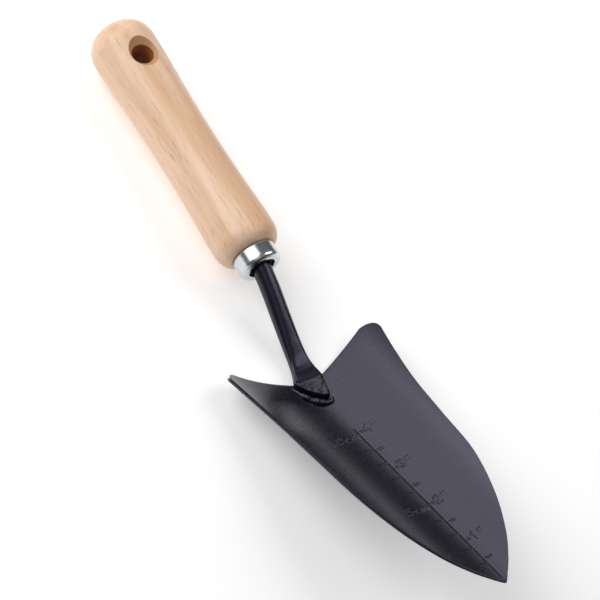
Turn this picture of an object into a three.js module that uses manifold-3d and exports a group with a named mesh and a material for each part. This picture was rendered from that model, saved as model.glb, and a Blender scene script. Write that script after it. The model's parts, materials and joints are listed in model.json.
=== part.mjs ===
// Hand trowel: wooden handle, steel ferrule, steel shank with its tang, pressed steel blade, weld bead.
// Millimetres, +Z up. Every piece is drawn in tool axes first: x runs from the blade's tip along its
// valley towards the handle, y is sideways and z is up out of the trough. The whole tool is then
// turned about y so that it rests on the blade's rear edge and on the swell near the handle's butt.
import * as THREE from 'three';
import { mergeVertices } from 'three/addons/utils/BufferGeometryUtils.js';
import Module from 'manifold-3d';

const wasm = await Module();
wasm.setup();

// Turn that brings the blade's rear edge and the handle's swell down to the same level.
const REST_TURN = THREE.MathUtils.degToRad(22.39);

// Handle axis: leaves the wood's front shoulder at JOIN and climbs away from the blade.
const HANDLE_PITCH = THREE.MathUtils.degToRad(20.37);
const JOIN_X = 185.4;
const JOIN_Z = 35.7;

// Handle, turned about its axis: an elliptical front shoulder, a slim waist and an elliptical butt.
const HANDLE_LENGTH = 118;
const SPIGOT_LENGTH = 6.4;
const SPIGOT_RADIUS = 8.2;
const SPIGOT_CHAMFER = 0.5;
const SHOULDER_START = 0.2;
const SHOULDER_END = 7.5;
const SHOULDER_INNER_RADIUS = 9.7;
const SWELL_RADIUS = 14.05;
const WAIST = [[14, 14], [27, 13.42], [43, 13.04], [60, 12.95], [79, 13.27], [95, 13.86]];
const BUTT_START = 106.5;
const BUTT_FLAT_RADIUS = 4.5;

// Bore for the tang, a cone that ends blind in the wood.
const BORE_MOUTH_RADIUS = 4.85;
const BORE_CONE_START = 16;
const BORE_CONE_RADIUS = 4.1;
const BORE_END = 61;
const BORE_END_RADIUS = 2.4;

// Hanging hole, square to the handle axis and countersunk at 45 degrees from both sides.
const HOLE_AT = 97;
const HOLE_RADIUS = 4.6;
const COUNTERSINK_START = 11.05;
const CUTTER_REACH = 20;

// Ferrule: a cup over the spigot with a turned-in lip.
const FERRULE_RADIUS = 9.46;
const FERRULE_BORE = 8.5;
const FERRULE_BACK = 0.1;
const FERRULE_LENGTH = 7.8;
const FERRULE_CORNER = 2.0;
const FERRULE_LIP = 0.9;
const FERRULE_OPENING = 5.9;

// Blade: a sheet pressed into a trough that tightens a little towards the tip.
const SHEET = 1.5;
const TROUGH_RADIUS = 50.8;
const TROUGH_TIGHTENING = 3.07;
const TROUGH_REFERENCE = 65;
const SHOULDER_X = 143.9;
const SHOULDER_Y = 29.94;
const SHOULDER_RADIUS = 6.38;
const SHOULDER_SWEEP = THREE.MathUtils.degToRad(84.9);
const GREATEST_HALF = SHOULDER_Y + SHOULDER_RADIUS;
const NOTCH_X = 141.8;
const NOTCH_HALF = 7;
const REAR_BOW = 1.6;
const REAR_BLEND_START = 96;

// Half-widths of the blade at distances from the tip.
const BLADE_SIDE = [
  [0, 0.45], [1.5, 1.85], [5, 4.49], [12, 9.47], [24, 16.31], [42, 23.34], [65, 28.55], [90, 30.31],
  [112, 31.82], [129, 33.95], [SHOULDER_X, GREATEST_HALF],
];

// Tang stations along the handle axis, from its point to the ferrule:
// [distance, left, right, half-thickness, squareness]. Squareness 2 is round, larger is more square.
const TANG_STATIONS = [
  [58, 1.1, 1.1, 1.1, 4], [56.5, 1.55, 1.55, 1.55, 4], [19, 2.7, 2.7, 2.7, 4], [13, 4.15, 4.15, 4.15, 2],
  [-5, 4.15, 4.15, 4.15, 2],
];

// Shank stations from the ferrule to the toe of the foot: [x, z, left, right, half-thickness, squareness].
// The foot's left corner reaches further back than its toe, which lies right of the middle.
const SHANK_STATIONS = [
  [177.6, 32, 4.15, 4.15, 4.1, 2], [171, 26.75, 4.25, 4.05, 3.9, 2.05], [162.5, 18.65, 4.35, 3.95, 3.5, 2.2],
  [154.5, 10.95, 4.35, 3.95, 2.8, 2.8], [149, 6.1, 4.5, 4.2, 2.2, 3.6], [144, 3.5, 5.8, 4.8, 1.95, 4.4],
  [139.2, 2.35, 8.1, 5.4, 1.75, 5], [136.4, 2.1, 7.1, 4.7, 1.65, 5], [132, 1.9, 4.6, 3.3, 1.55, 5],
  [128.9, 1.8, 2, 2.4, 1.45, 5], [127.6, 1.75, -0.4, 1.9, 1.35, 4],
];
const FOOT_BEND_START = 156;
const FOOT_BEND_END = 146;

// Weld bead: its path on the blade along the front of the foot and round the toe, [x, y].
const WELD_PATH = [[139, 9.1], [135, 8], [131.2, 6.3], [128, 4.2], [125.9, 1.4], [126, -1.6], [127.9, -3.3]];
const WELD_RADIUS = 1.55;
const WELD_SINK = 0.45;
const WELD_LUMPS = 7;
const WELD_LUMP_SHARE = 0.09;

// Gap kept between neighbouring pieces.
const GAP = 0.3;
// The steps below reach this much further, because a slanted face lies between two of them.
const GAP_ALLOWANCE = 1.15;

const LATHE_SIDES = 44;
const MERGE = 1e-4;

const axisDirection = new THREE.Vector3(Math.cos(HANDLE_PITCH), 0, Math.sin(HANDLE_PITCH));

function onAxis(distance) {
  const point = axisDirection.clone().multiplyScalar(distance);
  return point.add(new THREE.Vector3(JOIN_X, 0, JOIN_Z));
}

function troughRadius(x) {
  return TROUGH_RADIUS - TROUGH_TIGHTENING * (1 - x / TROUGH_REFERENCE);
}

function troughRise(x, y) {
  const radius = troughRadius(x);
  return radius - Math.sqrt(radius * radius - y * y);
}

// A smooth curve through rows of numbers, with the given number of steps between neighbours.
function through(rows, steps) {
  const smooth = [];
  for (let i = 0; i < rows.length - 1; i += 1) {
    const before = rows[Math.max(i - 1, 0)];
    const start = rows[i];
    const end = rows[i + 1];
    const after = rows[Math.min(i + 2, rows.length - 1)];
    for (let k = 0; k < steps; k += 1) {
      const t = k / steps;
      smooth.push(start.map((value, n) => {
        const first = end[n] - before[n];
        const second = 2 * before[n] - 5 * value + 4 * end[n] - after[n];
        const third = 3 * value - before[n] - 3 * end[n] + after[n];
        return value + 0.5 * (first * t + second * t * t + third * t * t * t);
      }));
    }
  }
  smooth.push(rows[rows.length - 1]);
  return smooth;
}

// The walls of a body between rings that all have the same number of points.
function ringWalls(rings) {
  const count = rings[0].length;
  const positions = [];
  const index = [];
  rings.forEach((ring) => ring.forEach((p) => positions.push(p.x, p.y, p.z)));
  for (let r = 0; r < rings.length - 1; r += 1) {
    for (let i = 0; i < count; i += 1) {
      const next = (i + 1) % count;
      const a = r * count + i;
      const b = r * count + next;
      const c = (r + 1) * count + i;
      const d = (r + 1) * count + next;
      index.push(a, c, b, b, c, d);
    }
  }
  return { positions, index };
}

// Reverses the triangles when a body has come out facing inwards.
function faceOut(geometry) {
  const p = geometry.getAttribute('position');
  const index = geometry.getIndex();
  const a = new THREE.Vector3();
  const b = new THREE.Vector3();
  const c = new THREE.Vector3();
  let volume = 0;
  for (let i = 0; i < index.count; i += 3) {
    a.fromBufferAttribute(p, index.getX(i));
    b.fromBufferAttribute(p, index.getX(i + 1));
    c.fromBufferAttribute(p, index.getX(i + 2));
    volume += a.dot(b.cross(c));
  }
  if (volume < 0) {
    for (let i = 0; i < index.count; i += 3) {
      const first = index.getX(i);
      index.setX(i, index.getX(i + 1));
      index.setX(i + 1, first);
    }
  }
  return geometry;
}

function bodyFrom(positions, index) {
  const geometry = new THREE.BufferGeometry();
  geometry.setAttribute('position', new THREE.Float32BufferAttribute(positions, 3));
  geometry.setIndex(index);
  return faceOut(geometry);
}

// A closed body from rings along it, each end closed by a fan about the ring's centre.
function loft(rings) {
  const { positions, index } = ringWalls(rings);
  const count = rings[0].length;
  [0, rings.length - 1].forEach((r) => {
    const centre = new THREE.Vector3();
    rings[r].forEach((p) => centre.add(p));
    centre.divideScalar(count);
    const middle = positions.length / 3;
    positions.push(centre.x, centre.y, centre.z);
    for (let i = 0; i < count; i += 1) {
      const a = r * count + i;
      const b = r * count + ((i + 1) % count);
      if (r === 0) index.push(middle, a, b);
      else index.push(middle, b, a);
    }
  });
  return bodyFrom(positions, index);
}

// A closed sheet from rings across it, each end closed by a strip between its upper and lower edge.
function sheetLoft(rings) {
  const { positions, index } = ringWalls(rings);
  const count = rings[0].length;
  const across = count / 2;
  const last = (rings.length - 1) * count;
  for (let i = 0; i < across - 1; i += 1) {
    const j = count - 1 - i;
    index.push(i, i + 1, j, i + 1, j - 1, j);
    index.push(last + i, last + j, last + i + 1, last + i + 1, last + j, last + j - 1);
  }
  return bodyFrom(positions, index);
}

// A closed body turned about y from an outline of (radius, along) points.
function turned(points, sides) {
  const lathe = new THREE.LatheGeometry(points, sides);
  lathe.deleteAttribute('normal');
  lathe.deleteAttribute('uv');
  return faceOut(mergeVertices(lathe, MERGE));
}

function toManifold(geometry) {
  const mesh = new wasm.Mesh({
    numProp: 3,
    vertProperties: new Float32Array(geometry.getAttribute('position').array),
    triVerts: new Uint32Array(geometry.getIndex().array),
  });
  return new wasm.Manifold(mesh);
}

function fromManifold(solid) {
  const mesh = solid.getMesh();
  const geometry = new THREE.BufferGeometry();
  geometry.setAttribute('position', new THREE.Float32BufferAttribute(mesh.vertProperties, 3));
  geometry.setIndex(Array.from(mesh.triVerts));
  return geometry;
}

// Turns a lathe shape, whose own axis is y, so that it stands on the handle axis.
function alongHandle(geometry) {
  geometry.rotateZ(-Math.PI / 2);
  geometry.rotateY(-HANDLE_PITCH);
  geometry.translate(JOIN_X, 0, JOIN_Z);
  return geometry;
}

function handleOutline() {
  const swell = SWELL_RADIUS - SHOULDER_INNER_RADIUS;
  const shoulder = SHOULDER_END - SHOULDER_START;
  const outline = new THREE.Path();
  outline.moveTo(0, BORE_END);
  outline.lineTo(BORE_END_RADIUS, BORE_END);
  outline.lineTo(BORE_CONE_RADIUS, BORE_CONE_START);
  outline.lineTo(BORE_MOUTH_RADIUS, BORE_CONE_START);
  outline.lineTo(BORE_MOUTH_RADIUS, -SPIGOT_LENGTH);
  outline.lineTo(SPIGOT_RADIUS - SPIGOT_CHAMFER, -SPIGOT_LENGTH);
  outline.lineTo(SPIGOT_RADIUS, SPIGOT_CHAMFER - SPIGOT_LENGTH);
  outline.lineTo(SPIGOT_RADIUS, SHOULDER_START);
  outline.lineTo(SHOULDER_INNER_RADIUS, SHOULDER_START);
  outline.absellipse(SHOULDER_INNER_RADIUS, SHOULDER_END, swell, shoulder, -Math.PI / 2, 0, false);
  const waist = WAIST.map(([along, radius]) => new THREE.Vector2(radius, along));
  outline.splineThru([...waist, new THREE.Vector2(SWELL_RADIUS, BUTT_START)]);
  const dome = HANDLE_LENGTH - BUTT_START;
  const rim = SWELL_RADIUS - BUTT_FLAT_RADIUS;
  outline.absellipse(BUTT_FLAT_RADIUS, BUTT_START, rim, dome, 0, Math.PI / 2, false);
  outline.lineTo(0, HANDLE_LENGTH);
  return outline.getPoints(4);
}

function makeHandle() {
  const wood = turned(handleOutline(), LATHE_SIDES);
  const wide = HOLE_RADIUS + CUTTER_REACH - COUNTERSINK_START;
  const drill = new THREE.Path();
  drill.moveTo(0, -CUTTER_REACH);
  drill.lineTo(wide, -CUTTER_REACH);
  drill.lineTo(HOLE_RADIUS, -COUNTERSINK_START);
  drill.lineTo(HOLE_RADIUS, COUNTERSINK_START);
  drill.lineTo(wide, CUTTER_REACH);
  drill.lineTo(0, CUTTER_REACH);
  const cutter = turned(drill.getPoints(), 32);
  cutter.rotateX(Math.PI / 2);
  cutter.translate(0, HOLE_AT, 0);
  return alongHandle(fromManifold(toManifold(wood).subtract(toManifold(cutter))));
}

function makeFerrule() {
  const quarter = Math.PI / 2;
  const lip = FERRULE_LIP / 2;
  const inner = FERRULE_CORNER - FERRULE_LIP;
  const front = -FERRULE_LENGTH;
  const outer = FERRULE_RADIUS - FERRULE_CORNER;
  const cup = new THREE.Path();
  cup.moveTo(FERRULE_BORE, -FERRULE_BACK);
  cup.lineTo(FERRULE_RADIUS, -FERRULE_BACK);
  cup.absarc(outer, front + FERRULE_CORNER, FERRULE_CORNER, 0, -quarter, true);
  cup.absarc(FERRULE_OPENING + lip, front + lip, lip, -quarter, -3 * quarter, true);
  cup.absarc(FERRULE_BORE - inner, front + FERRULE_CORNER, inner, -quarter, 0, false);
  cup.lineTo(FERRULE_BORE, -FERRULE_BACK);
  return alongHandle(turned(cup.getPoints(3), LATHE_SIDES));
}

// A rounded-square ring across the direction of travel, reaching left and right of the middle plane.
function sectionRing(station, travel, sides) {
  const across = new THREE.Vector3(0, 1, 0);
  const up = new THREE.Vector3().crossVectors(travel, across).normalize();
  const half = (station.left + station.right) / 2;
  const middle = (station.left - station.right) / 2;
  const ring = [];
  for (let i = 0; i < sides; i += 1) {
    const turn = ((i + 0.5) / sides) * Math.PI * 2;
    const c = Math.cos(turn);
    const s = Math.sin(turn);
    const y = Math.sign(c) * Math.pow(Math.abs(c), 2 / station.square) * half;
    const z = Math.sign(s) * Math.pow(Math.abs(s), 2 / station.square) * station.thick;
    const point = station.centre.clone();
    point.addScaledVector(across, middle + y);
    point.addScaledVector(up, z);
    ring.push(point);
  }
  return ring;
}

function makeShank() {
  const stations = TANG_STATIONS.map(([along, left, right, thick, square]) => {
    return { centre: onAxis(along), left, right, thick, square };
  });
  through(SHANK_STATIONS, 3).forEach(([x, z, left, right, thick, square]) => {
    stations.push({ centre: new THREE.Vector3(x, 0, z), left, right, thick, square });
  });
  const rings = stations.map((station, i) => {
    const before = stations[Math.max(i - 1, 0)].centre;
    const after = stations[Math.min(i + 1, stations.length - 1)].centre;
    const travel = new THREE.Vector3().subVectors(after, before).normalize();
    const ring = sectionRing(station, travel, 28);
    const bend = THREE.MathUtils.smoothstep(-station.centre.x, -FOOT_BEND_START, -FOOT_BEND_END);
    ring.forEach((p) => {
      p.z += bend * troughRise(p.x, p.y);
    });
    return ring;
  });
  return loft(rings);
}

// Rear edge of the blade: x at a distance y sideways.
function rearEdge(y) {
  const side = Math.abs(y);
  const top = SHOULDER_Y + SHOULDER_RADIUS * Math.cos(SHOULDER_SWEEP);
  const endX = SHOULDER_X + SHOULDER_RADIUS * Math.sin(SHOULDER_SWEEP);
  if (side >= top) {
    const c = Math.min((side - SHOULDER_Y) / SHOULDER_RADIUS, 1);
    return SHOULDER_X + SHOULDER_RADIUS * Math.sqrt(1 - c * c);
  }
  if (side <= NOTCH_HALF) return NOTCH_X;
  const share = (side - NOTCH_HALF) / (top - NOTCH_HALF);
  return NOTCH_X + (endX - NOTCH_X) * share + REAR_BOW * share * (1 - share);
}

// Shares of the half-width at which the blade has a column of points, from one side to the other.
function bladeColumns() {
  const arcSteps = 6;
  const straightSteps = 5;
  const shares = [];
  for (let i = 0; i <= arcSteps; i += 1) {
    const turn = (i / arcSteps) * SHOULDER_SWEEP;
    shares.push((SHOULDER_Y + SHOULDER_RADIUS * Math.cos(turn)) / GREATEST_HALF);
  }
  const last = shares[arcSteps] * GREATEST_HALF;
  for (let i = 1; i <= straightSteps; i += 1) {
    shares.push((last + (NOTCH_HALF - last) * (i / straightSteps)) / GREATEST_HALF);
  }
  shares.push(NOTCH_HALF / 2 / GREATEST_HALF);
  return [...shares.map((f) => -f), 0, ...shares.slice().reverse()];
}

function makeBlade() {
  const columns = bladeColumns();
  const rings = through(BLADE_SIDE, 3).map(([x, half]) => {
    const blend = THREE.MathUtils.smoothstep(x, REAR_BLEND_START, SHOULDER_X);
    const upper = [];
    const lower = [];
    columns.forEach((f) => {
      const px = x + blend * (rearEdge(GREATEST_HALF * f) - SHOULDER_X);
      const py = half * f;
      const lean = py / troughRadius(px);
      const rise = troughRise(px, py);
      upper.push(new THREE.Vector3(px, py, rise));
      lower.push(new THREE.Vector3(px, py + SHEET * lean, rise - SHEET * Math.sqrt(1 - lean * lean)));
    });
    return [...upper, ...lower.reverse()];
  });
  return sheetLoft(rings);
}

function weldRing(path, i, count) {
  const share = i / (path.length - 1);
  const taper = Math.pow(Math.sin(Math.PI * (0.04 + 0.92 * share)), 0.45);
  const lump = 1 + WELD_LUMP_SHARE * Math.sin(2 * Math.PI * WELD_LUMPS * share);
  const radius = WELD_RADIUS * taper * lump;
  const lifted = (p) => new THREE.Vector3(p.x, p.y, troughRise(p.x, p.y));
  const before = lifted(path[Math.max(i - 1, 0)]);
  const after = lifted(path[Math.min(i + 1, path.length - 1)]);
  const travel = after.sub(before).normalize();
  const side = new THREE.Vector3().crossVectors(travel, new THREE.Vector3(0, 0, 1)).normalize();
  const up = new THREE.Vector3().crossVectors(side, travel).normalize();
  const ring = [];
  for (let k = 0; k < count; k += 1) {
    const turn = (k / count) * Math.PI * 2;
    const point = lifted(path[i]);
    point.addScaledVector(side, Math.cos(turn) * radius);
    point.addScaledVector(up, (Math.sin(turn) + WELD_SINK) * radius);
    ring.push(point);
  }
  return ring;
}

// The bead, cut clear of the blade that it lies on and of the foot that it holds.
// Steps of one length in the 26 directions of a cube's faces, edges and corners.
function stepsAround(length) {
  const steps = [];
  for (let i = 0; i < 27; i += 1) {
    const step = new THREE.Vector3((i % 3) - 1, (Math.floor(i / 3) % 3) - 1, Math.floor(i / 9) - 1);
    if (step.length() > 0) {
      steps.push(step.setLength(length).toArray());
    }
  }
  return steps;
}
function makeWeld(shank, blade) {
  const curve = new THREE.SplineCurve(WELD_PATH.map(([x, y]) => new THREE.Vector2(x, y)));
  const path = curve.getPoints(24);
  const bead = toManifold(loft(path.map((_, i) => weldRing(path, i, 12))));
  const foot = toManifold(shank);
  let cut = bead.subtract(toManifold(blade).translate(0, 0, GAP));
  stepsAround(GAP * GAP_ALLOWANCE).forEach((step) => {
    cut = cut.subtract(foot.translate(...step));
  });
  const bodies = cut.decompose().sort((a, b) => b.volume() - a.volume());
  return fromManifold(bodies[0]);
}

function piece(name, geometry, colour, metalness, roughness) {
  const material = new THREE.MeshStandardMaterial({ color: colour, metalness, roughness });
  const mesh = new THREE.Mesh(geometry, material);
  mesh.name = name;
  return mesh;
}

const handleShape = makeHandle();
const ferruleShape = makeFerrule();
const shankShape = makeShank();
const bladeShape = makeBlade();
const weldShape = makeWeld(shankShape, bladeShape);
const shapes = [handleShape, ferruleShape, shankShape, bladeShape, weldShape];

// Turn the tool to lie on the table, then put the origin under the middle of its box.
const box = new THREE.Box3();
shapes.forEach((shape) => {
  shape.rotateY(REST_TURN);
  shape.computeBoundingBox();
  box.union(shape.boundingBox);
});
const middle = box.getCenter(new THREE.Vector3());
shapes.forEach((shape) => shape.translate(-middle.x, -middle.y, -box.min.z));

const trowel = new THREE.Group();
trowel.name = 'hand_trowel';
trowel.add(piece('wooden_handle', handleShape, 0xd9a878, 0, 0.4));
trowel.add(piece('steel_ferrule', ferruleShape, 0xc8cbd0, 1, 0.25));
trowel.add(piece('shank_with_tang', shankShape, 0x25252c, 0.1, 0.5));
trowel.add(piece('trough_blade', bladeShape, 0x25252c, 0.1, 0.5));
trowel.add(piece('weld_bead', weldShape, 0x2b2b31, 0.1, 0.55));

export default trowel;
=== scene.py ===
"""Looks of the hand trowel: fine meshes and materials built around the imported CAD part. Metres, row frame."""

import json
import math

import bmesh
import bpy
from mathutils import Matrix, Vector, noise


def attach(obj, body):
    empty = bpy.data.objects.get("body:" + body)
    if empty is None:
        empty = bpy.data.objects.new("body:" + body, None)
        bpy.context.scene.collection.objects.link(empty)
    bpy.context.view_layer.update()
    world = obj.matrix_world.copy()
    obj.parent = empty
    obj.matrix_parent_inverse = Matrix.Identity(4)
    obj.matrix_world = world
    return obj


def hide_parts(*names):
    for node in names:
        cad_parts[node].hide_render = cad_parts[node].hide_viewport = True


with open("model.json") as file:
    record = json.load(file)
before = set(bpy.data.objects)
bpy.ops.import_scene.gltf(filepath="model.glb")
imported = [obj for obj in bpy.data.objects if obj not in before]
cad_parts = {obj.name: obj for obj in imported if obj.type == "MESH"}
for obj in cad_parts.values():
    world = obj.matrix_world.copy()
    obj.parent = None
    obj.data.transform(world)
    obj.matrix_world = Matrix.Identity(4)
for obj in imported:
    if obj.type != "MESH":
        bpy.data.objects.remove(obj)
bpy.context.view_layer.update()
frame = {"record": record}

MM = 0.001

# Driving sizes, in millimetres. x runs from the blade's tip along its valley, y is sideways, z is up.
HANDLE_PITCH = math.radians(20.37)
JOIN_X, JOIN_Z = 185.4, 35.7

# Handle: an elliptical front shoulder, a slim waist and an elliptical butt.
HANDLE_LENGTH = 118.0
SPIGOT_LENGTH, SPIGOT_RADIUS, SPIGOT_CHAMFER = 6.4, 8.2, 0.5
SHOULDER_START, SHOULDER_END, SHOULDER_INNER_RADIUS = 0.2, 7.5, 9.7
SWELL_RADIUS = 14.05
WAIST = [(14, 14), (27, 13.42), (43, 13.04), (60, 12.95), (79, 13.27), (95, 13.86)]
BUTT_START, BUTT_FLAT_RADIUS = 106.5, 4.5
BORE_RADIUS, BORE_DEPTH = 4.85, 30.0
HOLE_AT, HOLE_RADIUS, COUNTERSINK_START = 97.0, 4.6, 11.05

FERRULE_RADIUS, FERRULE_BORE, FERRULE_BACK, FERRULE_LENGTH = 9.46, 8.5, 0.1, 7.8
FERRULE_CORNER, FERRULE_LIP, FERRULE_OPENING = 2.0, 0.9, 5.9

SHEET = 1.5
TROUGH_RADIUS, TROUGH_TIGHTENING, TROUGH_REFERENCE = 50.8, 3.07, 65.0
SHOULDER_X, SHOULDER_Y, SHOULDER_RADIUS = 143.9, 29.94, 6.38
SHOULDER_SWEEP = math.radians(84.9)
NOTCH_X, NOTCH_HALF, REAR_BOW, REAR_BLEND_START = 141.8, 7.0, 1.6, 96.0
EDGE_ROUND = 0.35

# Points round each turned or lofted piece.
HANDLE_SIDES, DRILL_SIDES, FERRULE_SIDES, SHANK_SIDES, WELD_SIDES = 160, 96, 144, 96, 40
DRILL_REACH, DRILL_EASE = 20.0, 0.35

# Places of the handle's materials in its list.
# The end grain of the spigot and bore is darkened to near black as painted shade inside the ferrule's opening.
# The wall of the hanging hole is darkened red-brown as painted shade.
SHADED_END_GRAIN, SHADED_HOLE_WALL, FLARE = 1, 2, 3

# Half-widths of the blade at distances from its tip.
BLADE_SIDE = [
    (0, 0.45), (1.5, 1.85), (5, 4.49), (12, 9.47), (24, 16.31), (42, 23.34), (65, 28.55),
    (90, 30.31), (112, 31.82), (129, 33.95), (SHOULDER_X, SHOULDER_Y + SHOULDER_RADIUS),
]

# Tang stations along the handle axis: distance, left, right, half-thickness, squareness (2 is round).
TANG_STATIONS = [
    (58, 1.1, 1.1, 1.1, 4), (56.5, 1.55, 1.55, 1.55, 4), (19, 2.7, 2.7, 2.7, 4), (13, 4.15, 4.15, 4.15, 2),
    (-5, 4.15, 4.15, 4.15, 2),
]
# Shank stations from the ferrule to the toe of the foot: x, z, left, right, half-thickness, squareness.
SHANK_STATIONS = [
    (177.6, 32, 4.15, 4.15, 4.1, 2), (171, 26.75, 4.25, 4.05, 3.9, 2.05),
    (162.5, 18.65, 4.35, 3.95, 3.5, 2.2), (154.5, 10.95, 4.35, 3.95, 2.8, 2.8),
    (149, 6.1, 4.5, 4.2, 2.2, 3.6), (144, 3.5, 5.8, 4.8, 1.95, 4.4), (139.2, 2.35, 8.1, 5.4, 1.75, 5),
    (136.4, 2.1, 7.1, 4.7, 1.65, 5), (132, 1.9, 4.6, 3.3, 1.55, 5), (128.9, 1.8, 2, 2.4, 1.45, 5),
    (127.6, 1.75, -0.4, 1.9, 1.35, 4),
]
FOOT_BEND_START, FOOT_BEND_END = 156.0, 146.0

# Weld bead: its path on the blade along the front of the foot and round the toe.
WELD_PATH = [(139, 9.1), (135, 8), (131.2, 6.3), (128, 4.2), (125.9, 1.4), (126, -1.6), (127.9, -3.3)]
WELD_RADIUS, WELD_SINK = 1.5, 0.3

# Stamped depth scale on the blade.
SCALE_ZERO = 2.6
SCALE_DEPTH, SCALE_STROKE = 0.15, 0.45
INCH, CENTIMETRE = 25.4, 10.0
LETTER_HEIGHT, LETTER_WIDTH, LETTER_STEP = 4.0, 2.6, 3.45


# ---- placing ----------------------------------------------------------------------------------

def row_from_tool():
    """The turn and shift from tool axes to the row frame, read from the butt's flat face."""
    face = frame["record"]["mounts"][0]
    axis = Vector(face["axis"])
    turn = HANDLE_PITCH - math.atan2(axis.z, axis.x)
    rotation = Matrix.Rotation(turn, 4, "Y")
    butt = Vector((JOIN_X + HANDLE_LENGTH * math.cos(HANDLE_PITCH), 0,
                   JOIN_Z + HANDLE_LENGTH * math.sin(HANDLE_PITCH))) * MM
    shift = Vector(face["pos_m"]) - rotation @ butt
    return Matrix.Translation(shift) @ rotation


ROW_FROM_TOOL = row_from_tool()
# Handle axes: z runs along the handle from the wood's front shoulder, x points up, y is sideways.
ROW_FROM_HANDLE = (
    ROW_FROM_TOOL
    @ Matrix.Translation(Vector((JOIN_X, 0, JOIN_Z)) * MM)
    @ Matrix.Rotation(math.pi / 2 - HANDLE_PITCH, 4, "Y")
)


def make_object(name, points, faces, place, materials):
    """A smooth mesh object from points in millimetres."""
    mesh = bpy.data.meshes.new(name)
    mesh.from_pydata([tuple(c * MM for c in p) for p in points], [], faces)
    mesh.validate()
    shape = bmesh.new()
    shape.from_mesh(mesh)
    bmesh.ops.recalc_face_normals(shape, faces=shape.faces)
    shape.to_mesh(mesh)
    shape.free()
    mesh.shade_smooth()
    for material in materials:
        mesh.materials.append(material)
    obj = bpy.data.objects.new(name, mesh)
    bpy.context.collection.objects.link(obj)
    obj.matrix_world = place
    return obj


def smooth_curve(stations, steps):
    """Catmull-Rom through the stations, with the given number of steps between neighbours."""
    rows = []
    for i in range(len(stations) - 1):
        p0 = stations[max(i - 1, 0)]
        p1, p2 = stations[i], stations[i + 1]
        p3 = stations[min(i + 2, len(stations) - 1)]
        for k in range(steps):
            t = k / steps
            rows.append(tuple(
                0.5 * (2 * b + (c - a) * t + (2 * a - 5 * b + 4 * c - d) * t * t
                       + (3 * b - a - 3 * c + d) * t ** 3)
                for a, b, c, d in zip(p0, p1, p2, p3)
            ))
    rows.append(tuple(stations[-1]))
    return rows


def level(rows, x):
    """Value at x of a polyline whose first column rises."""
    for (x0, y0), (x1, y1) in zip(rows, rows[1:]):
        if x <= x1:
            return y0 + (y1 - y0) * (x - x0) / (x1 - x0)
    return rows[-1][1]


def arc(centre, radii, start, end, steps):
    """Points of (along, radius) on part of an ellipse; angles in degrees from the radius direction."""
    points = []
    for i in range(steps + 1):
        turn = math.radians(start + (end - start) * i / steps)
        points.append((centre[0] + radii[0] * math.sin(turn), centre[1] + radii[1] * math.cos(turn)))
    return points


def smoothstep(low, high, x):
    t = min(max((x - low) / (high - low), 0.0), 1.0)
    return t * t * (3 - 2 * t)


# ---- materials --------------------------------------------------------------------------------

class Tree:
    """Short calls for building one material's nodes."""

    def __init__(self, name):
        self.material = bpy.data.materials.new(name)
        self.material.use_nodes = True
        self.nodes = self.material.node_tree.nodes
        self.links = self.material.node_tree.links
        self.shader = self.nodes["Principled BSDF"]

    def add(self, kind, **values):
        node = self.nodes.new(kind)
        for key, value in values.items():
            setattr(node, key, value)
        return node

    def link(self, source, target):
        self.links.new(source, target)

    def coords(self, scale):
        """Object coordinates, scaled to turn metres into the texture's own units."""
        place = self.add("ShaderNodeTexCoord")
        mapping = self.add("ShaderNodeMapping")
        mapping.inputs["Scale"].default_value = scale
        self.link(place.outputs["Object"], mapping.inputs["Vector"])
        return mapping.outputs["Vector"]

    def noise(self, scale, detail=3.0, roughness=0.5, distortion=0.0):
        texture = self.add("ShaderNodeTexNoise")
        texture.inputs["Scale"].default_value = 1.0
        texture.inputs["Detail"].default_value = detail
        texture.inputs["Roughness"].default_value = roughness
        texture.inputs["Distortion"].default_value = distortion
        self.link(self.coords(scale), texture.inputs["Vector"])
        return texture.outputs["Fac"]

    def ramp(self, value, stops):
        ramp = self.add("ShaderNodeValToRGB")
        while len(ramp.color_ramp.elements) < len(stops):
            ramp.color_ramp.elements.new(0.5)
        for element, (position, colour) in zip(ramp.color_ramp.elements, stops):
            element.position = position
            element.color = (*colour, 1.0)
        self.link(value, ramp.inputs["Fac"])
        return ramp.outputs["Color"]

    def mix(self, factor, first, second):
        node = self.add("ShaderNodeMix", data_type="RGBA", blend_type="MIX")
        self.put(factor, node.inputs[0])
        self.put(first, node.inputs[6])
        self.put(second, node.inputs[7])
        return node.outputs[2]

    def math(self, operation, first, second):
        node = self.add("ShaderNodeMath", operation=operation)
        self.put(first, node.inputs[0])
        self.put(second, node.inputs[1])
        return node.outputs[0]

    def put(self, value, socket):
        if isinstance(value, bpy.types.NodeSocket):
            self.link(value, socket)
        elif isinstance(value, tuple) and len(value) == 3:
            socket.default_value = (*value, 1.0)
        else:
            socket.default_value = value

    def bump(self, height, distance, strength):
        node = self.add("ShaderNodeBump")
        node.inputs["Strength"].default_value = strength
        node.inputs["Distance"].default_value = distance
        self.link(height, node.inputs["Height"])
        return node.outputs["Normal"]

    def set(self, **values):
        for key, value in values.items():
            self.put(value, self.shader.inputs[key.replace("_", " ")])


def wood_material(name, light, dark, pore, coat):
    """Pale hardwood under clear lacquer, its grain along the object's own z."""
    t = Tree(name)
    broad = t.noise((110, 110, 11), detail=2.0, distortion=0.5)
    colour = t.ramp(broad, [(0.36, dark), (0.60, light)])
    streak = t.noise((750, 750, 14), detail=3.0, roughness=0.6)
    colour = t.mix(t.ramp(streak, [(0.38, (0.34,) * 3), (0.6, (0.0,) * 3)]), colour, dark)
    dashes = t.noise((1700, 1700, 110), detail=1.0)
    marks = t.ramp(dashes, [(0.28, (0.6,) * 3), (0.36, (0.0,) * 3)])
    colour = t.mix(marks, colour, pore)
    t.set(Base_Color=colour, Roughness=0.5, Coat_Weight=coat, Coat_Roughness=0.3)
    t.set(Normal=t.bump(dashes, 0.00004, 0.3))
    return t.material


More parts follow.
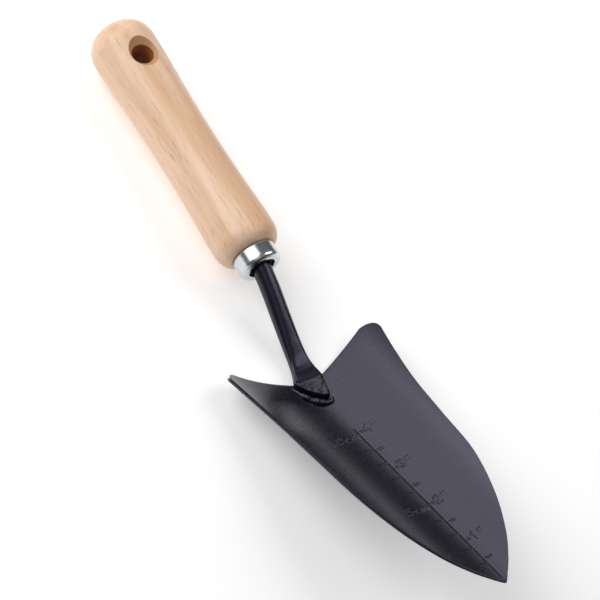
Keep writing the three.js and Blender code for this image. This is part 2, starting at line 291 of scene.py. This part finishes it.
def coat_material(name, colour, roughness, peel):
    """Black powder coat with a fine orange peel."""
    t = Tree(name)
    fine = t.noise((1500, 1500, 1500), detail=2.0, roughness=0.6)
    broad = t.noise((140, 140, 140), detail=3.0)
    tone = t.ramp(broad, [(0.3, tuple(c * 0.8 for c in colour)), (0.7, tuple(c * 1.25 for c in colour))])
    t.set(Base_Color=tone, Specular_IOR_Level=0.6, Specular_Tint=(0.78, 0.742, 1.0))
    t.set(Roughness=t.math("ADD", t.math("MULTIPLY", fine, 0.14), roughness - 0.07))
    t.set(Normal=t.bump(fine, peel, 0.8))
    return t.material


def plated_material(name):
    """Bright zinc plating, slightly clouded."""
    t = Tree(name)
    cloud = t.noise((260, 260, 260), detail=3.0)
    tone = t.ramp(cloud, [(0.3, (0.62, 0.65, 0.67)), (0.7, (0.72, 0.75, 0.77))])
    t.set(Base_Color=tone, Metallic=1.0)
    t.set(Roughness=t.math("ADD", t.math("MULTIPLY", cloud, 0.12), 0.17))
    return t.material


# ---- handle -----------------------------------------------------------------------------------

def ring_faces(rows, sides):
    """Walls between rings of points that follow each other."""
    faces = []
    for r in range(rows - 1):
        for i in range(sides):
            j = (i + 1) % sides
            faces.append((r * sides + i, r * sides + j, (r + 1) * sides + j, (r + 1) * sides + i))
    return faces


def lathe(profile, sides):
    """Points and faces of a closed profile of (along, radius) turned about z."""
    points = []
    for along, radius in profile:
        for i in range(sides):
            turn = 2 * math.pi * i / sides
            points.append((radius * math.cos(turn), radius * math.sin(turn), along))
    return points, ring_faces(len(profile), sides)


def close_ends(points, faces, sides):
    """Closes the first and last ring of a lathe or loft."""
    last = len(points) - sides
    faces.append(tuple(reversed(range(sides))))
    faces.append(tuple(range(last, last + sides)))


def join_edges(faces, rows, sides):
    """Joins the last ring to the first, for a profile that closes on itself."""
    last = (rows - 1) * sides
    for i in range(sides):
        j = (i + 1) % sides
        faces.append((last + i, last + j, j, i))


def handle_profile():
    """The turned outline of the handle as (along, radius), from the blind bore out and back to the axis."""
    shoulder = arc((SHOULDER_END, SHOULDER_INNER_RADIUS),
                   (SHOULDER_END - SHOULDER_START, SWELL_RADIUS - SHOULDER_INNER_RADIUS), -90, 0, 20)
    waist = smooth_curve([shoulder[-1], *WAIST, (BUTT_START, SWELL_RADIUS)], 7)
    butt = arc((BUTT_START, BUTT_FLAT_RADIUS),
               (HANDLE_LENGTH - BUTT_START, SWELL_RADIUS - BUTT_FLAT_RADIUS), 0, 90, 24)
    return [
        (BORE_DEPTH, 0.05), (BORE_DEPTH, BORE_RADIUS), (-SPIGOT_LENGTH, BORE_RADIUS),
        (-SPIGOT_LENGTH, SPIGOT_RADIUS - SPIGOT_CHAMFER), (SPIGOT_CHAMFER - SPIGOT_LENGTH, SPIGOT_RADIUS),
        (SHOULDER_START, SPIGOT_RADIUS), *shoulder, *waist[1:], *butt[1:], (HANDLE_LENGTH, 0.05),
    ]


def make_handle(materials):
    sides = HANDLE_SIDES
    points, faces = lathe(handle_profile(), sides)
    close_ends(points, faces, sides)
    handle = make_object("turned_handle", points, faces, ROW_FROM_HANDLE, materials)
    for polygon in handle.data.polygons:
        along = polygon.center.z / MM
        radius = math.hypot(polygon.center.x, polygon.center.y) / MM
        # Spigot and bore faces take the end grain darkened as painted shade.
        if along < 0 or radius < SPIGOT_RADIUS and along < BORE_DEPTH + 1:
            polygon.material_index = SHADED_END_GRAIN
    drill_handle(handle)
    return handle


def drill_handle(handle):
    """Cuts the countersunk hanging hole through the handle, along its x."""
    reach = DRILL_REACH
    wide = HOLE_RADIUS + reach - COUNTERSINK_START
    ease = DRILL_EASE
    half = [(reach, wide), (COUNTERSINK_START + ease, HOLE_RADIUS + ease),
            (COUNTERSINK_START + 0.1, HOLE_RADIUS + 0.12), (COUNTERSINK_START - ease, HOLE_RADIUS)]
    profile = half + [(-along, radius) for along, radius in reversed(half)]
    sides = DRILL_SIDES
    points, faces = lathe(profile, sides)
    close_ends(points, faces, sides)
    place = ROW_FROM_HANDLE @ Matrix.Translation((0, 0, HOLE_AT * MM)) @ Matrix.Rotation(math.pi / 2, 4, "Y")
    cutter = make_object("drill_cutter", points, faces, place, list(handle.data.materials))
    for polygon in cutter.data.polygons:
        # The hole's wall takes the wood darkened as painted shade.
        polygon.material_index = SHADED_HOLE_WALL if abs(polygon.center.z) / MM < COUNTERSINK_START else FLARE
    cut = handle.modifiers.new("hole", "BOOLEAN")
    cut.object = cutter
    cut.solver = "EXACT"
    bpy.context.view_layer.update()
    depsgraph = bpy.context.evaluated_depsgraph_get()
    mesh = bpy.data.meshes.new_from_object(handle.evaluated_get(depsgraph))
    handle.modifiers.clear()
    handle.data = mesh
    bpy.data.objects.remove(cutter)
    mesh.shade_smooth()
    mesh.set_sharp_from_angle(angle=math.radians(30))


# ---- ferrule ----------------------------------------------------------------------------------

def make_ferrule(material):
    front = -FERRULE_LENGTH
    lip = FERRULE_LIP / 2
    inner = FERRULE_CORNER - FERRULE_LIP
    ease = 0.12
    back = [(-FERRULE_BACK, FERRULE_BORE), (-FERRULE_BACK, FERRULE_RADIUS - ease)]
    wall = [(-FERRULE_BACK - ease - i * 0.9, FERRULE_RADIUS) for i in range(6)]
    corner = arc((front + FERRULE_CORNER, FERRULE_RADIUS - FERRULE_CORNER), (-FERRULE_CORNER, FERRULE_CORNER),
                 0, 90, 12)
    rim = arc((front + lip, FERRULE_OPENING + lip), (-lip, lip), 90, 270, 8)
    hollow = arc((front + FERRULE_CORNER, FERRULE_BORE - inner), (-inner, inner), 90, 0, 6)
    profile = back + wall + corner + rim + hollow
    sides = FERRULE_SIDES
    points, faces = lathe(profile, sides)
    join_edges(faces, len(profile), sides)
    # A small stake dimple that holds the ferrule to the wood.
    centre = Vector((-0.35, -0.94, 0)).normalized() * FERRULE_RADIUS + Vector((0, 0, -3.6))
    dimpled = []
    for p in points:
        point = Vector(p)
        depth = 0.35 * math.exp(-((point - centre).length / 0.9) ** 2)
        around = Vector((point.x, point.y, 0)).normalized()
        dimpled.append(tuple(point - around * depth))
    ferrule = make_object("ferrule_cup", dimpled, faces, ROW_FROM_HANDLE, [material])
    ferrule.data.set_sharp_from_angle(angle=math.radians(50))
    return ferrule


# ---- shank ------------------------------------------------------------------------------------

def trough_radius(x):
    return TROUGH_RADIUS - TROUGH_TIGHTENING * (1 - x / TROUGH_REFERENCE)


def trough_rise(x, y):
    radius = trough_radius(x)
    return radius - math.sqrt(radius * radius - y * y)


def section(centre, travel, left, right, half_thickness, squareness, sides):
    across = Vector((0, 1, 0))
    up = travel.cross(across).normalized()
    ring = []
    for i in range(sides):
        turn = (i + 0.5) / sides * 2 * math.pi
        c, s = math.cos(turn), math.sin(turn)
        y = (left - right) / 2 + math.copysign(abs(c) ** (2 / squareness), c) * (left + right) / 2
        z = math.copysign(abs(s) ** (2 / squareness), s) * half_thickness
        ring.append(centre + across * y + up * z)
    return ring


def make_shank(material):
    rows = []
    for along, left, right, thick, square in TANG_STATIONS:
        rows.append((JOIN_X + along * math.cos(HANDLE_PITCH), JOIN_Z + along * math.sin(HANDLE_PITCH),
                     left, right, thick, square))
    rows += smooth_curve(SHANK_STATIONS, 9)
    sides = SHANK_SIDES
    points = []
    for i, (x, z, left, right, thick, square) in enumerate(rows):
        before, after = rows[max(i - 1, 0)], rows[min(i + 1, len(rows) - 1)]
        travel = Vector((after[0] - before[0], 0, after[1] - before[1])).normalized()
        bend = smoothstep(-FOOT_BEND_START, -FOOT_BEND_END, -x)
        forged = smoothstep(-172, -150, -x)
        ragged = smoothstep(-140.5, -138, -x)
        for p in section(Vector((x, 0, z)), travel, left, right, thick, square, sides):
            hammered = noise.noise(Vector((p.x * 0.3, p.y * 0.35, p.z * 0.3))) * 0.12 * forged
            torn = noise.noise(Vector((p.x * 0.7, p.y * 0.7, p.z * 0.9))) * 0.35 * ragged
            rise = bend * trough_rise(p.x, p.y) - abs(hammered) - max(torn, 0.0)
            points.append((p.x + abs(torn), p.y * (1 - abs(hammered) * 0.1), p.z + rise))
    faces = ring_faces(len(rows), sides)
    close_ends(points, faces, sides)
    shank = make_object("forged_shank", points, faces, ROW_FROM_TOOL, [material])
    shank.data.set_sharp_from_angle(angle=math.radians(60))
    return shank


# ---- blade ------------------------------------------------------------------------------------

def rear_edge(y, inset):
    """Where the blade ends at a distance sideways, drawn in from its outline by the inset."""
    side = abs(y)
    radius = SHOULDER_RADIUS - inset
    top = SHOULDER_Y + radius * math.cos(SHOULDER_SWEEP)
    end_x = SHOULDER_X + radius * math.sin(SHOULDER_SWEEP)
    if side >= top:
        c = min((side - SHOULDER_Y) / radius, 1.0)
        return SHOULDER_X + radius * math.sqrt(1 - c * c)
    if side <= NOTCH_HALF:
        return NOTCH_X - inset
    share = (side - NOTCH_HALF) / (top - NOTCH_HALF)
    return NOTCH_X - inset + (end_x - NOTCH_X + inset) * share + REAR_BOW * share * (1 - share)


STROKES = {
    "0": [[(0.5, 0), (0.1, 0.25), (0, 0.5), (0.1, 0.75), (0.5, 1), (0.9, 0.75), (1, 0.5), (0.9, 0.25),
           (0.5, 0)]],
    "1": [[(0.2, 0.75), (0.55, 1), (0.55, 0)]],
    "2": [[(0, 0.75), (0.2, 0.97), (0.7, 1), (1, 0.72), (0.8, 0.45), (0, 0), (1, 0)]],
    "3": [[(0, 0.9), (0.5, 1), (0.9, 0.78), (0.45, 0.53), (1, 0.27), (0.5, 0), (0, 0.1)]],
    "4": [[(0.75, 0), (0.75, 1), (0, 0.3), (1, 0.3)]],
    "5": [[(0.95, 1), (0.15, 1), (0.08, 0.55), (0.6, 0.62), (1, 0.32), (0.6, 0), (0, 0.08)]],
    "c": [[(0.95, 0.55), (0.5, 0.66), (0.05, 0.35), (0.5, 0), (0.95, 0.1)]],
    "m": [[(0, 0), (0, 0.62)], [(0, 0.5), (0.28, 0.64), (0.5, 0.5), (0.5, 0)],
          [(0.5, 0.5), (0.78, 0.64), (1, 0.5), (1, 0)]],
    '"': [[(0.3, 1.05), (0.2, 0.7)], [(0.8, 1.05), (0.7, 0.7)]],
}


def lettering(text, x, y):
    """Strokes of a label whose characters stand towards the handle and read from left to right."""
    strokes = []
    for index, letter in enumerate(text):
        left = y - index * LETTER_STEP
        for line in STROKES[letter]:
            strokes.append([(x + v * LETTER_HEIGHT, left - u * LETTER_WIDTH) for u, v in line])
    return strokes


def scale_strokes():
    """The centre line, the half-inch ticks on the right, the centimetre ticks on the left, and the labels."""
    strokes = [[(SCALE_ZERO + 0.6, 0), (SCALE_ZERO + 4 * INCH + 2, 0)]]
    for half in range(1, 9):
        x = SCALE_ZERO + half * INCH / 2
        strokes.append([(x, -0.2), (x, -3.6 if half % 2 else -2.2)])
    for number in range(1, 11):
        x = SCALE_ZERO + number * CENTIMETRE
        strokes.append([(x, 0.9), (x, 3.9 if number % 5 else 2.2)])
    for number in range(1, 5):
        strokes += lettering(f'{number}"', SCALE_ZERO + number * INCH - LETTER_HEIGHT * 0.3, -3.2)
    strokes += lettering("5cm", SCALE_ZERO + 5 * CENTIMETRE - LETTER_HEIGHT * 0.5, 12.3)
    strokes += lettering("10cm", SCALE_ZERO + 10 * CENTIMETRE - LETTER_HEIGHT * 0.5, 15.3)
    return strokes


def stroke_cells(strokes, cell):
    """Segments sorted into square cells, so that nearby ones are found quickly."""
    cells = {}
    for line in strokes:
        for a, b in zip(line, line[1:]):
            low = [min(a[k], b[k]) - SCALE_STROKE * 2 for k in (0, 1)]
            high = [max(a[k], b[k]) + SCALE_STROKE * 2 for k in (0, 1)]
            for i in range(math.floor(low[0] / cell), math.floor(high[0] / cell) + 1):
                for j in range(math.floor(low[1] / cell), math.floor(high[1] / cell) + 1):
                    cells.setdefault((i, j), []).append((a, b))
    return cells


def stamp_depth(cells, cell, x, y):
    """How deep the stamp is at a point of the blade."""
    nearest = SCALE_STROKE * 4
    for a, b in cells.get((math.floor(x / cell), math.floor(y / cell)), ()):
        dx, dy = b[0] - a[0], b[1] - a[1]
        t = min(max(((x - a[0]) * dx + (y - a[1]) * dy) / (dx * dx + dy * dy), 0.0), 1.0)
        nearest = min(nearest, math.hypot(x - a[0] - t * dx, y - a[1] - t * dy))
    return SCALE_DEPTH * math.exp(-(nearest / SCALE_STROKE) ** 2)


def blade_point(x, y, depth):
    """A point of the blade at a depth below its upper face."""
    radius = trough_radius(x)
    lean = y / radius
    return (x, y + depth * lean, trough_rise(x, y) - depth * math.sqrt(1 - lean * lean))


def blade_columns(greatest):
    """Shares of the half-width: close in the middle for the stamp, and by angle round the shoulders."""
    radius = SHOULDER_RADIUS - EDGE_ROUND
    corner = (SHOULDER_Y + radius * math.cos(SHOULDER_SWEEP)) / greatest
    half = [i / 44 * 0.52 for i in range(44)]
    half += [0.52 + i / 16 * (corner - 0.52) for i in range(16)]
    half += [(SHOULDER_Y + radius * math.cos(SHOULDER_SWEEP * (1 - i / 14))) / greatest for i in range(15)]
    return [-f for f in reversed(half[1:])] + half


def blade_rows():
    stamped = [EDGE_ROUND + i * 0.36 for i in range(302)]
    plain = [stamped[-1] + (SHOULDER_X - stamped[-1]) * i / 44 for i in range(1, 45)]
    return stamped + plain


def blade_grid():
    """Points of the sheet in plan, drawn in from its outline by the rounding of its edge."""
    side = smooth_curve(BLADE_SIDE, 24)
    greatest = SHOULDER_Y + SHOULDER_RADIUS - EDGE_ROUND
    columns, rows = blade_columns(greatest), blade_rows()
    flat = []
    for x in rows:
        blend = smoothstep(REAR_BLEND_START, SHOULDER_X, x)
        wide = level(side, x)
        slope = (level(side, x + 0.2) - level(side, x - 0.2)) / 0.4 if x < SHOULDER_X - 0.3 else 0.0
        half = max(wide - EDGE_ROUND * math.sqrt(1 + slope * slope), wide * 0.25)
        for f in columns:
            back = rear_edge(greatest * f, EDGE_ROUND) - SHOULDER_X
            flat.append((x + blend * back, half * f))
    return flat, len(rows), len(columns)


def make_blade(material):
    cell = 2.0
    cells = stroke_cells(scale_strokes(), cell)
    flat, rows, across = blade_grid()
    points = [blade_point(x, y, stamp_depth(cells, cell, x, y)) for x, y in flat]
    points += [blade_point(x, y, SHEET) for x, y in flat]
    total = len(flat)
    faces = []
    for r in range(rows - 1):
        for c in range(across - 1):
            a = r * across + c
            quad = (a, a + 1, a + across + 1, a + across)
            faces.append(quad)
            faces.append(tuple(total + v for v in reversed(quad)))
    border = list(range(across))
    border += [r * across + across - 1 for r in range(1, rows)]
    border += [(rows - 1) * across + c for c in range(across - 2, -1, -1)]
    border += [r * across for r in range(rows - 2, 0, -1)]
    round_rim(points, faces, flat, border, total)
    return make_object("pressed_blade", points, faces, ROW_FROM_TOOL, [material])


def round_rim(points, faces, flat, border, total):
    """Joins the upper and lower faces of the sheet round their border with a softly rounded cut edge."""
    count = len(border)
    steps = [0, 30, 60, 90]
    turns = [math.radians(s) for s in steps]
    levels = [(math.sin(t), EDGE_ROUND * (1 - math.cos(t))) for t in turns[1:]]
    levels += [(math.sin(t), SHEET - EDGE_ROUND * (1 - math.cos(t))) for t in reversed(turns[1:])]
    rings = [border]
    for out, depth in levels:
        ring = []
        for k, vertex in enumerate(border):
            before, after = flat[border[k - 1]], flat[border[(k + 1) % count]]
            dx, dy = after[0] - before[0], after[1] - before[1]
            size = math.hypot(dx, dy) or 1.0
            x, y = flat[vertex]
            ring.append(len(points))
            over, along = dy / size * EDGE_ROUND * out, dx / size * EDGE_ROUND * out
            points.append(blade_point(x + over, y - along, depth))
        rings.append(ring)
    rings.append([total + v for v in border])
    for first, second in zip(rings, rings[1:]):
        for k in range(count):
            n = (k + 1) % count
            faces.append((first[k], first[n], second[n], second[k]))


# ---- weld -------------------------------------------------------------------------------------

def make_weld(material):
    rows = smooth_curve(WELD_PATH, 18)
    sides = WELD_SIDES
    points = []
    for i, (x, y) in enumerate(rows):
        before, after = rows[max(i - 1, 0)], rows[min(i + 1, len(rows) - 1)]
        travel = Vector((after[0] - before[0], after[1] - before[1], 0)).normalized()
        side = travel.cross(Vector((0, 0, 1)))
        share = i / (len(rows) - 1)
        taper = math.sin(math.pi * (0.04 + 0.92 * share)) ** 0.45
        swell = 0.9 + 0.3 * noise.noise(Vector((x * 0.45, y * 0.45, 4.0)))
        radius = WELD_RADIUS * taper * min(swell, 1.05)
        for k in range(sides):
            turn = k / sides * 2 * math.pi
            out = side * math.cos(turn) + Vector((0, 0, 1)) * (math.sin(turn) + WELD_SINK)
            p = Vector((x, y, trough_rise(x, y))) + out * radius
            lump = noise.noise(p * 0.9) * 0.24 + noise.noise(p * 2.6) * 0.07
            p -= out * (radius * max(lump, 0.0))
            points.append((p.x, p.y, max(p.z, trough_rise(p.x, p.y) + 0.05)))
    faces = ring_faces(len(rows), sides)
    close_ends(points, faces, sides)
    return make_object("lumpy_weld", points, faces, ROW_FROM_TOOL, [material])


# ---- studio -----------------------------------------------------------------------------------

def make_floor():
    t = Tree("pale floor")
    t.set(Base_Color=(0.9, 0.9, 0.9), Roughness=0.9, Emission_Color=(1.0, 1.0, 1.0), Emission_Strength=0.3)
    bpy.ops.mesh.primitive_plane_add(size=30, location=(0, 0, 0))
    floor = bpy.context.object
    floor.name = "floor"
    floor.data.materials.append(t.material)
    return floor


def soft_light(name, azimuth, elevation, distance, size, power, target):
    """A rectangular soft light in the direction given, in degrees, about the target."""
    a, e = math.radians(azimuth), math.radians(elevation)
    away = Vector((math.cos(a) * math.cos(e), math.sin(a) * math.cos(e), math.sin(e)))
    data = bpy.data.lights.new(name, "AREA")
    data.shape = "RECTANGLE"
    data.size, data.size_y = size
    data.energy = power
    light = bpy.data.objects.new(name, data)
    bpy.context.collection.objects.link(light)
    light.location = target + away * distance
    light.rotation_euler = (-away).to_track_quat("-Z", "Y").to_euler()
    return light


def make_camera():
    """Looks from the tip's left, well above the table, rolled so that the tip hangs down."""
    azimuth, elevation, roll = math.radians(125.9), math.radians(54.64), math.radians(28.15)
    distance, aim = 2.891, ROW_FROM_TOOL @ (Vector((159.27, -6.3, 27.33)) * MM)
    back = Vector((math.cos(azimuth) * math.cos(elevation), math.sin(azimuth) * math.cos(elevation),
                   math.sin(elevation)))
    data = bpy.data.cameras.new("camera")
    data.lens, data.sensor_width = 427.1, 36.0
    data.clip_start, data.clip_end = 0.1, 50
    camera = bpy.data.objects.new("camera", data)
    bpy.context.collection.objects.link(camera)
    upright = (-back).to_track_quat("-Z", "Y").to_matrix().to_4x4()
    camera.matrix_world = Matrix.Translation(aim + back * distance) @ upright @ Matrix.Rotation(roll, 4, "Z")
    bpy.context.scene.camera = camera


# Softboxes: azimuth and elevation in degrees, distance and size in metres, power in watts.
LIGHTS = {
    "sheen": (9, 33, 1.3, (2.2, 0.62), 8.5),
    "side": (45, 48, 1.4, (1.1, 1.1), 9.0),
    "back": (-100, 50, 1.4, (0.9, 0.9), 6.0),
    "front": (140, 60, 1.6, (1.0, 1.0), 1.5),
}
AMBIENT = 0.1


def make_studio():
    middle = Vector((0, 0, 0.02))
    lights = [soft_light(name, *values, middle) for name, values in LIGHTS.items()]
    world = bpy.data.worlds.new("studio")
    bpy.context.scene.world = world
    world.use_nodes = True
    world.node_tree.nodes["Background"].inputs["Color"].default_value = (0.95, 0.97, 1.0, 1)
    world.node_tree.nodes["Background"].inputs["Strength"].default_value = AMBIENT
    make_floor()
    bpy.context.scene.view_settings.view_transform = "Standard"


def main():
    wood = wood_material("lacquered wood", (0.92, 0.64, 0.45), (0.80, 0.49, 0.29), (0.48, 0.26, 0.14), 0.45)
    # End grain darkened to near black: painted shade in the ferrule's opening.
    shaded_end_grain = wood_material("end grain in painted shade", (0.10, 0.035, 0.012), (0.05, 0.02, 0.01),
                            (0.02, 0.01, 0.005), 0.0)
    # The hole's wall, darkened red-brown as painted shade.
    bore = wood_material("wood inside the hole in painted shade", (0.42, 0.15, 0.05), (0.30, 0.10, 0.03),
                         (0.2, 0.06, 0.02), 0.1)
    flare = wood_material("wood of the countersink", (0.66, 0.38, 0.20), (0.56, 0.29, 0.14),
                          (0.4, 0.2, 0.1), 0.1)
    coat = coat_material("powder coat on the blade", (0.0040, 0.0036, 0.0075), 0.27, 0.00002)
    shank_coat = coat_material("powder coat on the shank", (0.0050, 0.0045, 0.0085), 0.30, 0.00002)
    weld_coat = coat_material("powder coat on the weld", (0.0060, 0.0055, 0.0095), 0.30, 0.00003)
    plated = plated_material("zinc plating")
    pieces = [
        (make_handle([wood, shaded_end_grain, bore, flare]), "wooden_handle", "lacquered_wood"),
        (make_ferrule(plated), "steel_ferrule", "plated_steel"),
        (make_shank(shank_coat), "shank_with_tang", "coated_shank"),
        (make_blade(coat), "trough_blade", "coated_blade"),
        (make_weld(weld_coat), "weld_bead", "coated_weld"),
    ]
    for piece, node, slot in pieces:
        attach(piece, "root")
        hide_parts(node)
    make_studio()
    make_camera()


main()
